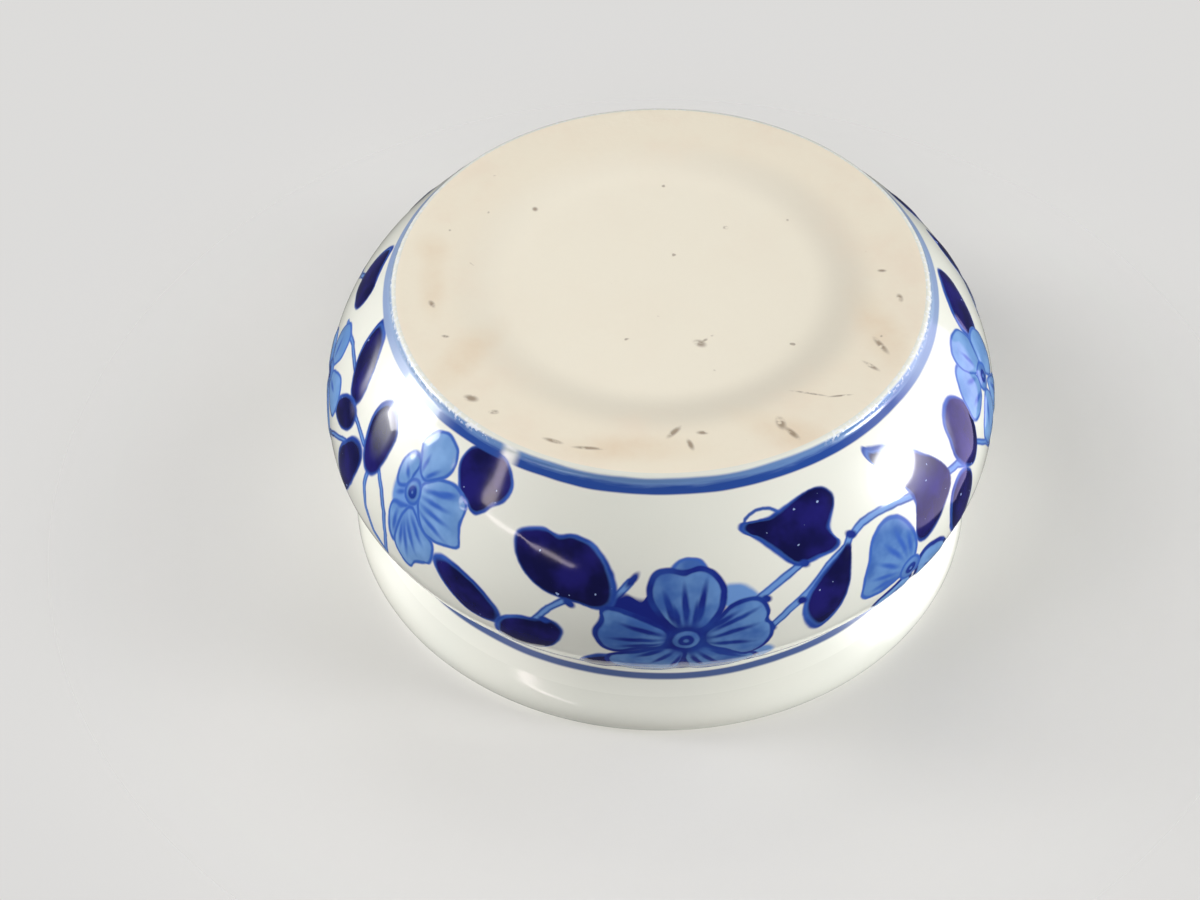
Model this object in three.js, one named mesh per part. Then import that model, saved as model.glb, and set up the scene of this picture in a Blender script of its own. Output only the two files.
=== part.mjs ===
// A porcelain catchall bowl: a wide flat foot with a shallow dished centre, a round belly that
// tucks in to a crease, and a collar that spreads from the crease to a rounded lip.
// Millimetres, +Z up, the origin on the axis in the plane that the foot stands on.
import * as THREE from "three";

// Foot: the flat ring of bare clay that the bowl stands on, and the dished middle inside it
const FOOT_RADIUS = 41.7;
const FOOT_EDGE_RADIUS = 1.0;
const DISH_RADIUS = 30.5;
const DISH_EDGE_WIDTH = 4.0;
const DISH_DEPTH = 1.2;

// Belly: widest at its own height, drawn in above to the crease under the collar
const BELLY_RADIUS = 55.0;
const BELLY_HEIGHT = 25.4;
const BELLY_FULLNESS = 2.1;
const CREASE_RADIUS = 47.0;
const CREASE_HEIGHT = 39.4;
const SHOULDER_FULLNESS = 1.6;

// Collar: a cone from the crease up, whose last share turns upright into the lip
const RIM_RADIUS = 52.4;
const COLLAR_TURN = 0.35;
const HEIGHT = 50.2;

// Clay thickness of the wall and of the floor, and the round corner between them inside
const WALL = 4.0;
const FLOOR = 5.0;
const FLOOR_CORNER = 6.5;

// Fineness of the faceted surface
const SEGMENTS = 72;
const DISH_STEPS = 4;
const EDGE_STEPS = 3;
const BELLY_STEPS = 9;
const SHOULDER_STEPS = 6;
const COLLAR_STEPS = 6;
const LIP_STEPS = 8;
const WALL_STEPS = 4;
const CORNER_STEPS = 5;

const lipRadius = WALL / 2;
const lipHeight = HEIGHT - lipRadius;
const footSideRadius = FOOT_RADIUS + FOOT_EDGE_RADIUS;
const quarterTurn = Math.PI / 2;

// Values from start to end in equal steps, the first one left out
function steps(start, end, count) {
  return Array.from({ length: count }, (_, i) => start + ((end - start) * (i + 1)) / count);
}

// Outer radius of the belly from the foot's edge up to its widest circle
function bellyRadius(z) {
  const below = (BELLY_HEIGHT - z) / (BELLY_HEIGHT - FOOT_EDGE_RADIUS);
  return BELLY_RADIUS - (BELLY_RADIUS - footSideRadius) * below ** BELLY_FULLNESS;
}

// Outer radius of the shoulder from the widest circle up to the crease
function shoulderRadius(z) {
  const above = (z - BELLY_HEIGHT) / (CREASE_HEIGHT - BELLY_HEIGHT);
  return BELLY_RADIUS - (BELLY_RADIUS - CREASE_RADIUS) * above ** SHOULDER_FULLNESS;
}

// Outer radius of the collar from the crease up to the lip
function collarRadius(z) {
  const up = (z - CREASE_HEIGHT) / (lipHeight - CREASE_HEIGHT);
  const turned = Math.max(0, up - (1 - COLLAR_TURN));
  const spread = (up - turned ** 2 / (2 * COLLAR_TURN)) / (1 - COLLAR_TURN / 2);
  return CREASE_RADIUS + (RIM_RADIUS - CREASE_RADIUS) * spread;
}

// Outer radius of the whole wall at a height
function outerRadius(z) {
  if (z < BELLY_HEIGHT) return bellyRadius(z);
  if (z < CREASE_HEIGHT) return shoulderRadius(z);
  return collarRadius(z);
}

// Inner radius: below the widest circle the wall's thickness is taken square to its slope
function innerRadius(z) {
  const rise = 0.1;
  const slope = z < BELLY_HEIGHT ? (bellyRadius(z + rise) - bellyRadius(z)) / rise : 0;
  return outerRadius(z) - WALL * Math.hypot(1, slope);
}

// The closed profile, from the middle of the underside round the outside and back inside
function bowlProfile() {
  const points = [];
  const add = (radius, z) => points.push(new THREE.Vector2(radius, z));
  const dishFlat = DISH_RADIUS - DISH_EDGE_WIDTH;
  add(0, DISH_DEPTH);
  add(dishFlat, DISH_DEPTH);
  for (const t of steps(0, 1, DISH_STEPS)) {
    add(dishFlat + DISH_EDGE_WIDTH * t, (DISH_DEPTH * (1 + Math.cos(Math.PI * t))) / 2);
  }
  add(FOOT_RADIUS, 0);
  for (const angle of steps(0, quarterTurn, EDGE_STEPS)) {
    add(FOOT_RADIUS + FOOT_EDGE_RADIUS * Math.sin(angle), FOOT_EDGE_RADIUS * (1 - Math.cos(angle)));
  }
  for (const z of steps(FOOT_EDGE_RADIUS, BELLY_HEIGHT, BELLY_STEPS)) add(bellyRadius(z), z);
  for (const z of steps(BELLY_HEIGHT, CREASE_HEIGHT, SHOULDER_STEPS)) add(shoulderRadius(z), z);
  for (const z of steps(CREASE_HEIGHT, lipHeight, COLLAR_STEPS)) add(collarRadius(z), z);
  for (const angle of steps(0, Math.PI, LIP_STEPS)) {
    add(RIM_RADIUS - lipRadius * (1 - Math.cos(angle)), lipHeight + lipRadius * Math.sin(angle));
  }
  const cornerTop = FLOOR + FLOOR_CORNER;
  for (const z of steps(lipHeight, CREASE_HEIGHT, COLLAR_STEPS)) add(innerRadius(z), z);
  for (const z of steps(CREASE_HEIGHT, BELLY_HEIGHT, SHOULDER_STEPS)) add(innerRadius(z), z);
  for (const z of steps(BELLY_HEIGHT, cornerTop, WALL_STEPS)) add(innerRadius(z), z);
  for (const angle of steps(0, quarterTurn, CORNER_STEPS)) {
    const z = cornerTop - FLOOR_CORNER * Math.sin(angle);
    add(innerRadius(z) - FLOOR_CORNER * (1 - Math.cos(angle)), z);
  }
  add(0, FLOOR);
  return points;
}

// Turns the profile about the upright axis: a lathe turns about Y, so it is stood up afterwards
function makeBowl() {
  const geometry = new THREE.LatheGeometry(bowlProfile(), SEGMENTS);
  geometry.rotateX(quarterTurn);
  const glaze = new THREE.MeshStandardMaterial({ color: 0xe4e6e2, roughness: 0.12, metalness: 0 });
  const bowl = new THREE.Mesh(geometry, glaze);
  bowl.name = "bowl";
  return bowl;
}

const catchallBowl = new THREE.Group();
catchallBowl.add(makeBowl());
export default catchallBowl;
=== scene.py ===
"""A blue and white porcelain catchall bowl: a low round belly with blossoms and leaves in low relief.

The bowl stands on its foot. The camera looks up at it from below with its own top turned over,
which shows the bowl mouth down, with the bare foot towards the viewer.
"""

import math

import bmesh
import bpy
import numpy as np
from mathutils import Matrix, Vector


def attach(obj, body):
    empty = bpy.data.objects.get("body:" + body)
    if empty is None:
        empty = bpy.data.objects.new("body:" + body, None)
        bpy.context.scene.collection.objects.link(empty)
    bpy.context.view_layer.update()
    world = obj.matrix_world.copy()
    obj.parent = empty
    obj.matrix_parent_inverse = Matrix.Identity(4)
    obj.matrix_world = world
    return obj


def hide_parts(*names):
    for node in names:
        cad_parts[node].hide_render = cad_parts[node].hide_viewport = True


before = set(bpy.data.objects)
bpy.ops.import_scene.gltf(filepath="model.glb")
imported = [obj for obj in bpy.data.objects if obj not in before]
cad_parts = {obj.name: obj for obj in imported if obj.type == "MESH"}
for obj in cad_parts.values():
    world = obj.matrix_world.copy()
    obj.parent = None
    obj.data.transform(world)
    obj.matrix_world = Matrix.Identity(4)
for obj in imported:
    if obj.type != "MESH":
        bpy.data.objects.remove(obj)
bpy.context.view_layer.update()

MM = 0.001

# The bowl's profile in millimetres, the same values as its solid
FOOT_RADIUS = 41.7
FOOT_EDGE_RADIUS = 1.0
DISH_RADIUS = 30.5
DISH_EDGE_WIDTH = 4.0
DISH_DEPTH = 1.2
DISH_SOFTNESS = 3.0
BELLY_RADIUS = 55.0
BELLY_HEIGHT = 25.4
BELLY_FULLNESS = 2.1
CREASE_RADIUS = 47.0
CREASE_HEIGHT = 39.4
SHOULDER_FULLNESS = 1.6
RIM_RADIUS = 52.4
COLLAR_TURN = 0.35
HEIGHT = 50.2
WALL = 4.0
FLOOR = 5.0
FLOOR_CORNER = 6.5
LIP_RADIUS = WALL / 2
LIP_HEIGHT = HEIGHT - LIP_RADIUS
FOOT_SIDE_RADIUS = FOOT_RADIUS + FOOT_EDGE_RADIUS

# Fineness of the visible mesh
SEGMENTS = 480
SECTORS = 16

# Low relief of the painted blossoms and leaves
RELIEF_HEIGHT = 0.2
RELIEF_REACH = 0.8
RELIEF_SLOPE = 1.5
RELIEF_MARGIN = 0.5

# One degree round the belly is this many millimetres of the pattern
DEGREE = BELLY_RADIUS * math.pi / 180


def spaced(start, end, count):
    """Values from start to end in equal steps, the first one left out."""
    return [start + (end - start) * (i + 1) / count for i in range(count)]


def belly_radius(z):
    """Outer radius from the foot's edge up to the widest circle."""
    below = (BELLY_HEIGHT - z) / (BELLY_HEIGHT - FOOT_EDGE_RADIUS)
    return BELLY_RADIUS - (BELLY_RADIUS - FOOT_SIDE_RADIUS) * below**BELLY_FULLNESS


def shoulder_radius(z):
    """Outer radius from the widest circle up to the crease."""
    above = (z - BELLY_HEIGHT) / (CREASE_HEIGHT - BELLY_HEIGHT)
    return BELLY_RADIUS - (BELLY_RADIUS - CREASE_RADIUS) * above**SHOULDER_FULLNESS


def collar_radius(z):
    """Outer radius from the crease up to the lip."""
    up = (z - CREASE_HEIGHT) / (LIP_HEIGHT - CREASE_HEIGHT)
    turned = max(0, up - (1 - COLLAR_TURN))
    spread = (up - turned**2 / (2 * COLLAR_TURN)) / (1 - COLLAR_TURN / 2)
    return CREASE_RADIUS + (RIM_RADIUS - CREASE_RADIUS) * spread


def outer_radius(z):
    if z < BELLY_HEIGHT:
        return belly_radius(z)
    if z < CREASE_HEIGHT:
        return shoulder_radius(z)
    return collar_radius(z)


def inner_radius(z):
    """Inner radius; below the widest circle the wall is measured square to its slope."""
    rise = 0.1
    slope = (belly_radius(z + rise) - belly_radius(z)) / rise if z < BELLY_HEIGHT else 0
    return outer_radius(z) - WALL * math.hypot(1, slope)


def underside_profile():
    """Points (radius, height) from the middle of the dish out to the foot's edge."""
    flat = DISH_RADIUS - DISH_EDGE_WIDTH - DISH_SOFTNESS
    edge = DISH_EDGE_WIDTH + 2 * DISH_SOFTNESS
    points = [(0, DISH_DEPTH)]
    points += [(radius, DISH_DEPTH) for radius in spaced(0, flat, 8)]
    for t in spaced(0, 1, 16):
        points.append((flat + edge * t, DISH_DEPTH * (1 + math.cos(math.pi * t)) / 2))
    points += [(radius, 0) for radius in spaced(flat + edge, FOOT_RADIUS, 8)]
    return points


def outside_profile():
    """Points from the foot's edge up the belly and the collar and over the lip."""
    points = []
    for angle in spaced(0, math.pi / 2, 6):
        radius = FOOT_RADIUS + FOOT_EDGE_RADIUS * math.sin(angle)
        points.append((radius, FOOT_EDGE_RADIUS * (1 - math.cos(angle))))
    points += [(belly_radius(z), z) for z in spaced(FOOT_EDGE_RADIUS, BELLY_HEIGHT, 52)]
    points += [(shoulder_radius(z), z) for z in spaced(BELLY_HEIGHT, CREASE_HEIGHT, 32)]
    points += [(collar_radius(z), z) for z in spaced(CREASE_HEIGHT, LIP_HEIGHT, 18)]
    for angle in spaced(0, math.pi, 16):
        radius = RIM_RADIUS - LIP_RADIUS * (1 - math.cos(angle))
        points.append((radius, LIP_HEIGHT + LIP_RADIUS * math.sin(angle)))
    return points


def inside_profile():
    """Points from the lip down the inner wall to the middle of the floor."""
    corner_top = FLOOR + FLOOR_CORNER
    points = [(inner_radius(z), z) for z in spaced(LIP_HEIGHT, CREASE_HEIGHT, 8)]
    points += [(inner_radius(z), z) for z in spaced(CREASE_HEIGHT, BELLY_HEIGHT, 12)]
    points += [(inner_radius(z), z) for z in spaced(BELLY_HEIGHT, corner_top, 12)]
    for angle in spaced(0, math.pi / 2, 10):
        z = corner_top - FLOOR_CORNER * math.sin(angle)
        points.append((inner_radius(z) - FLOOR_CORNER * (1 - math.cos(angle)), z))
    points += [(radius, FLOOR) for radius in reversed(spaced(0, points[-1][0], 4)[:-1])]
    points.append((0, FLOOR))
    return points


def arc_lengths(points):
    """Distance along the profile from the first point to each point."""
    steps = np.hypot(*np.diff(np.array(points), axis=0).T)
    return np.concatenate([[0], np.cumsum(steps)])


UNDERSIDE = underside_profile()
OUTSIDE = [UNDERSIDE[-1]] + outside_profile()
INSIDE = inside_profile()


def crease_arc():
    """Distance up the wall from the foot's edge to the crease."""
    crease = min(range(len(OUTSIDE)), key=lambda i: abs(OUTSIDE[i][1] - CREASE_HEIGHT))
    return float(arc_lengths(OUTSIDE)[crease])


CREASE_ARC = crease_arc()


def smooth_ring(points, per_side=10):
    """A closed smooth curve through a few points, per_side places to each side."""
    points = np.array(points, float)
    before = np.roll(points, 1, 0)[None]
    after = np.roll(points, -1, 0)[None]
    beyond = np.roll(points, -2, 0)[None]
    here = points[None]
    t = (np.arange(per_side) / per_side)[:, None, None]
    curve = here + t / 2 * (after - before)
    curve = curve + t**2 / 2 * (2 * before - 5 * here + 4 * after - beyond)
    curve = curve + t**3 / 2 * (3 * here - before - 3 * after + beyond)
    return curve.transpose(1, 0, 2).reshape(-1, 2)


def soft_step(value, low, high):
    t = np.clip((value - low) / (high - low), 0, 1)
    return t * t * (3 - 2 * t)


class Patch:
    """A closed painted shape on the belly, kept as its reach from its middle in each direction.

    Its outline is given as (degrees round the bowl, millimetres up the wall from the foot).
    """

    DIRECTIONS = 48

    def __init__(self, finish, outline, raised=True, **look):
        self.finish = finish
        self.raised = raised
        self.look = look
        ring = smooth_ring([(azimuth * DEGREE, arc) for azimuth, arc in outline])
        self.middle = ring.mean(axis=0)
        self.near = float(np.abs(ring[:, 0] - self.middle[0]).max()) + 1.5
        sizes, axes = np.linalg.eigh(np.cov((ring - self.middle).T))
        self.turn = math.atan2(axes[1, 1], axes[0, 1])
        self.short, self.long = [math.sqrt(2 * size) for size in sizes]
        x, y = self.local(ring[:, 0], ring[:, 1])
        directions = np.arctan2(y, x)
        order = np.argsort(directions)
        self.directions = np.linspace(-math.pi, math.pi, self.DIRECTIONS + 1)
        lengths = np.hypot(x, y)[order]
        self.reach = np.interp(self.directions, directions[order], lengths, period=2 * math.pi)

    def local(self, across, arc):
        """Places in the shape's own turned and scaled axes."""
        dx, dy = across - self.middle[0], arc - self.middle[1]
        c, s = math.cos(self.turn), math.sin(self.turn)
        return (c * dx + s * dy) / self.long, (c * dy - s * dx) / self.short

    def depth(self, across, arc):
        """Millimetres inside the outline, measured the short way."""
        x, y = self.local(across, arc)
        reach = np.interp(np.arctan2(y, x), self.directions, self.reach)
        return (reach - np.hypot(x, y)) * self.short

    def depth_node(self, nodes, place):
        """The same depth as a socket of a material."""
        middle = (self.middle[0], self.middle[1], 0)
        scale = (self.long, self.short, 1)
        local = nodes.add("Mapping", place, middle, (0, 0, self.turn), scale, vector_type="TEXTURE")
        x, y = nodes.split(local)
        share = nodes.math("MULTIPLY_ADD", nodes.math("ARCTAN2", y, x), 0.5 / math.pi, 0.5)
        reach = nodes.curve(share, self.reach / 2)
        length = nodes.times(nodes.length(local), -self.short)
        return nodes.math("MULTIPLY_ADD", reach, 2 * self.short, length)


class Stroke:
    """A straight brush stroke between two places, pointed like an ellipse or even along its length."""

    def __init__(self, finish, start, end, width, pointed=True):
        self.finish = finish
        self.pointed = pointed
        start = np.array([start[0] * DEGREE, start[1]])
        end = np.array([end[0] * DEGREE, end[1]])
        along = end - start
        self.middle = (start + end) / 2
        self.turn = math.atan2(along[1], along[0])
        self.half = float(np.hypot(*along)) / 2
        self.width = width
        self.near = abs(along[0]) / 2 + width + 1

    def depth(self, across, arc):
        dx, dy = across - self.middle[0], arc - self.middle[1]
        c, s = math.cos(self.turn), math.sin(self.turn)
        beyond = np.maximum(np.abs(c * dx + s * dy) - self.half, 0)
        return self.width / 2 - np.hypot(beyond, c * dy - s * dx)

    def depth_node(self, nodes, place):
        middle = (self.middle[0], self.middle[1], 0)
        half_width = self.width / 2
        if self.pointed:
            scale = (self.half, half_width, 1)
            local = nodes.add("Mapping", place, middle, (0, 0, self.turn), scale, vector_type="TEXTURE")
            return nodes.math("MULTIPLY_ADD", nodes.length(local), -half_width, half_width)
        local = nodes.add("Mapping", place, middle, (0, 0, self.turn), vector_type="TEXTURE")
        size = nodes.vector("ABSOLUTE", local)
        beyond = nodes.vector("MAXIMUM", nodes.vector("SUBTRACT", size, (self.half, 0, 0)), (0, 0, 0))
        return nodes.math("SUBTRACT", half_width, nodes.length(beyond))


def leaf(*outline, slip=(0.05, 0.02), raised=True):
    """A dark leaf whose filling sits a little to one side in its outline."""
    return [Patch("leaf", outline, raised, slip=slip)]


def petal(*outline, tone="soft", line=0.8, raised=True):
    return [Patch("petal", outline, raised, tone=tone, line=line)]


def far_petal(*outline):
    """A pale petal with a faint outline, for a blossom seen from its side."""
    return petal(*outline, tone="pale", line=0.4)


def wash(*outline):
    """A pale thin patch of blue with no outline."""
    return [Patch("wash", outline, raised=False)]


def dark(*outline):
    """A deep blue patch behind the petals."""
    return [Patch("dark", outline, raised=False)]


def veins(width, *pairs):
    return [Stroke("vein", start, end, width) for start, end in pairs]


def threads(width, *pairs):
    return [Stroke("thread", start, end, width) for start, end in pairs]


def knots(width, *pairs):
    return [Stroke("knot", start, end, width) for start, end in pairs]


def stem(width, *points):
    return [Stroke("stem", start, end, width, pointed=False) for start, end in zip(points, points[1:])]


def ring_at(azimuth, arc, width, height):
    """Outline of the button in the middle of a blossom."""
    angles = [math.pi * k / 4 for k in range(8)]
    return [(azimuth + width / 2 / DEGREE * math.cos(a), arc + height / 2 * math.sin(a)) for a in angles]


def button(azimuth, arc, width=5.2, height=4.8, line=0.8):
    """The middle of a blossom; a bold outline gets a dark ground as well."""
    parts = []
    if line > 0.7:
        parts += dark(*ring_at(azimuth, arc, width * 2.2, height * 2.2))
        parts += [Patch("heart", ring_at(azimuth, arc, width * 1.5, height * 1.5), raised=False)]
    parts += [Patch("button", ring_at(azimuth, arc, width, height), tone="soft", line=line)]
    return parts + [Patch("seed", ring_at(azimuth, arc, width * 0.36, height * 0.36), raised=False)]


def front_blossom():
    """The large blossom in the middle of the front."""
    made = wash((10, 20.5), (10.5, 17.8), (12.5, 17.4), (14.5, 18.2), (16.2, 20.5), (13, 22))
    made += wash((13, 33), (17, 31), (19, 33.5), (17, 37.5), (13, 37))
    made += petal((1.5, 15.5), (2, 14.4), (3.2, 13.1), (5, 12.7), (7, 13.2), (8, 14.6), (8, 16),
                  (4.5, 17), line=0.45)
    made += dark((-9, 21.5), (-7.5, 19.6), (-5.4, 18.4), (-3.2, 19.2), (-1.8, 18.9), (-1, 17),
                 (1, 20.5), (2, 24.3), (-1, 24))
    made += petal((4, 29), (7.5, 28.4), (11.5, 31), (15, 32.5), (16, 35), (13, 40), (9, 41.8),
                  (5.4, 39), (4.3, 33), tone="middle")
    made += petal((4, 29), (0.5, 28.4), (-3.5, 29.6), (-7.5, 31), (-8, 34), (-5, 40), (-1, 41.8),
                  (2.8, 39), (3.9, 33), tone="middle")
    made += petal((2.5, 24.6), (-0.5, 21), (-1.5, 18.4), (-1.2, 16), (0, 14.8), (2.1, 14.4),
                  (4.3, 14.8), (6.5, 14.4), (8.7, 15), (10.3, 16.8), (10.6, 19.2), (10, 21.6),
                  (7.5, 24.8), (5, 25.5), tone="middle", line=1)
    made += petal((7, 26), (8.5, 24.2), (10, 22.5), (12, 20.9), (14.9, 20.4), (16.9, 21.3),
                  (17.7, 23.4), (17.4, 25), (18.3, 26.5), (17.8, 29.4), (16, 31.7), (13.8, 32.4),
                  (10.5, 30.2), (7.5, 28.4))
    made += petal((2, 25.6), (-0.5, 23.5), (-3.8, 21.9), (-7.5, 21.1), (-8.9, 21.5), (-9, 23.4),
                  (-10, 25.7), (-9.7, 27.5), (-8.4, 29.4), (-6, 29.9), (-2.7, 28.9), (1, 28.3))
    made += dark((1.6, 29), (6.8, 29), (7.4, 36), (6.8, 43), (1.4, 43), (0.6, 36))
    made += button(4.4, 26.9)
    made += veins(1.3, ((0.8, 17.6), (2.9, 24)), ((4.2, 16.6), (4.5, 24.4)), ((7.9, 16.2), (6, 24.4)))
    made += veins(1.1, ((2.4, 20), (3.6, 24.6)), ((6.3, 19.4), (5.5, 24.8)), ((16.2, 22.2), (7.4, 25.6)))
    made += veins(1.1, ((15.7, 25.3), (7.4, 26.8)), ((15.2, 28.9), (7.4, 27.9)),
                  ((12.8, 22.2), (7.2, 25.2)))
    made += veins(1.1, ((-6, 23.7), (1.4, 26)), ((-7.6, 26.9), (1.2, 26.8)), ((-6.2, 28.6), (1.4, 27.6)))
    made += veins(1.1, ((-3.6, 31), (1.6, 28.6)), ((-1, 33), (2.6, 29.2)), ((2, 35), (3.8, 29.8)))
    made += veins(1.1, ((13.8, 33.5), (7.3, 28.8)), ((10.2, 35), (6, 29.4)), ((7.2, 35), (5, 29.8)))
    return made


def left_blossom():
    """The blossom to the left, seen from its side."""
    made = petal((-46, 18), (-47.7, 18.2), (-50, 19), (-50.3, 22), (-49.5, 25), (-48.2, 25.8),
                 (-47, 22), tone="pale", line=0.5)
    made += petal((-47.5, 13), (-47.2, 10), (-49.4, 9.6), (-51, 11.3), (-51.2, 14), (-50.2, 16),
                  (-48, 15), tone="pale", line=0.5)
    made += petal((-45.5, 17.5), (-43.2, 18.9), (-41.2, 20), (-39.4, 21.3), (-39.6, 24.6),
                  (-40.7, 25.4), (-42.8, 26.8), (-44.3, 28.8), (-46.5, 28), (-48.2, 25.8),
                  (-47.6, 21.5), (-46.7, 18.5), tone="pale", line=0.55)
    made += petal((-45, 13), (-42, 10.7), (-39, 10), (-36.8, 10.6), (-35.2, 11.8), (-35, 13.2),
                  (-35.3, 15.2), (-34.5, 18.8), (-36.8, 19.8), (-39.2, 20.4), (-41.8, 20),
                  (-43.6, 18.4), (-45, 15.5), tone="pale", line=0.55)
    made += petal((-49, 7.6), (-48.2, 5.7), (-47, 4.6), (-45, 4), (-43, 4.4), (-41, 5.5), (-40.2, 7.3),
                  (-40.6, 9.1), (-42, 10.7), (-44.7, 12.4), (-46.4, 12), (-47.6, 10.2), tone="pale",
                  line=0.55)
    made += button(-46.4, 15.2, 3.6, 4.2, 0.5)
    made += threads(1, ((-44.3, 13.6), (-37.6, 12)), ((-44, 14.8), (-38, 14.4)),
                    ((-43.8, 16), (-37.4, 16.6)), ((-43.8, 17.2), (-37.6, 19)),
                    ((-41, 12.6), (-37.4, 11.4)))
    made += threads(1, ((-45.2, 18.6), (-41.6, 22.4)), ((-45.8, 19.4), (-43, 24.6)),
                    ((-46.2, 20), (-44.8, 26.4)), ((-46.6, 20.6), (-46.6, 25.6)),
                    ((-48.4, 19.6), (-48.6, 24)))
    made += threads(0.9, ((-45.4, 12.4), (-42.7, 9.7)), ((-46.4, 11.6), (-46, 8.4)),
                    ((-48.2, 14), (-49.8, 12)), ((-47.8, 15.8), (-50, 17.4)))
    return made


def right_blossom():
    """The low blossom to the right, of which the camera sees the top."""
    made = petal((43, 29), (38.5, 29.6), (34.6, 28.6), (34.6, 25.2), (35.8, 21.8), (37.2, 18.4),
                 (40, 16.6), (43, 17), (45.4, 20), (46.4, 24), (45.4, 27.6), line=0.6, raised=False)
    made += petal((44.5, 30), (41, 30.8), (38, 32.2), (38, 36), (41.5, 39.5), (45.5, 39), (46.2, 34),
                  tone="pale")
    made += petal((46.5, 29), (49, 27.2), (53, 28.6), (55.5, 32.5), (53.5, 37), (49.5, 38), (47.2, 34),
                  tone="pale")
    made += button(44.8, 28.6, 4.4, 4.4, 0.5)
    made += threads(1, ((42.2, 26.6), (38, 23.4)), ((41.6, 27.6), (36.6, 25.8)),
                    ((43, 25.6), (39.6, 20.6)))
    made += threads(1, ((44, 25.4), (42.2, 19.4)), ((41.6, 28.6), (36.4, 28)), ((45, 25.6), (44.6, 21)))
    made += threads(1, ((43, 31.5), (40.5, 35)), ((48.5, 31), (52, 34)))
    return made


def far_right_blossom():
    """The blossom round to the right, half out of sight."""
    made = far_petal((78, 16), (73.5, 18.5), (70, 17.5), (70.2, 12.6), (73, 9.3), (76.5, 10.5))
    made += far_petal((79, 15), (75, 11), (75.5, 7.8), (79, 6.6), (83, 8), (84, 12), (82, 15))
    made += far_petal((81.5, 16.5), (83.5, 12), (87, 11.8), (89.5, 15), (88, 19.5), (84.5, 20.5))
    made += far_petal((79, 18.5), (74.5, 20), (72, 23), (75, 27), (79.5, 27), (81, 23))
    made += far_petal((81.5, 19), (85, 21), (88, 24), (85.5, 28), (81.5, 27.5), (80.5, 23))
    made += button(80, 16.6, 5, 4.6, 0.4)
    made += threads(1, ((77, 14.5), (73.5, 12.5)), ((79, 13.2), (78, 9.4)), ((82, 13.6), (84.2, 11)))
    made += threads(1, ((77.5, 19.5), (75, 23)), ((82, 20), (84, 24)), ((76.5, 17), (72.4, 16)))
    return made


def far_left_blossom():
    """The blossom round to the left, half out of sight."""
    made = far_petal((-84, 20), (-80.5, 17), (-77.5, 16.4), (-75, 18.8), (-75.6, 22.5), (-79, 23.5),
                     (-82.5, 22.4))
    made += far_petal((-85, 19.5), (-82.5, 15.4), (-84.5, 12), (-88.5, 12.4), (-90, 16), (-88, 19.5))
    made += far_petal((-86.5, 21), (-89, 18.5), (-93, 18.4), (-95.2, 21.4), (-93, 25), (-88.6, 24.5))
    made += far_petal((-85.6, 23), (-88.5, 25.5), (-89, 30), (-85.5, 32.6), (-82.6, 30.5), (-83, 26))
    made += far_petal((-84, 22.5), (-80.6, 24), (-77.4, 26.6), (-78, 30.8), (-81.6, 32), (-83.4, 27.6))
    made += button(-85, 21, 5, 4.6, 0.4)
    made += threads(1, ((-82, 20), (-78.5, 19.4)), ((-85.2, 18), (-86.6, 14.6)),
                    ((-88, 21.4), (-92, 21.6)))
    made += threads(1, ((-85.8, 24.5), (-86, 29)), ((-82.8, 23.6), (-80, 27.6)))
    return made


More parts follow.
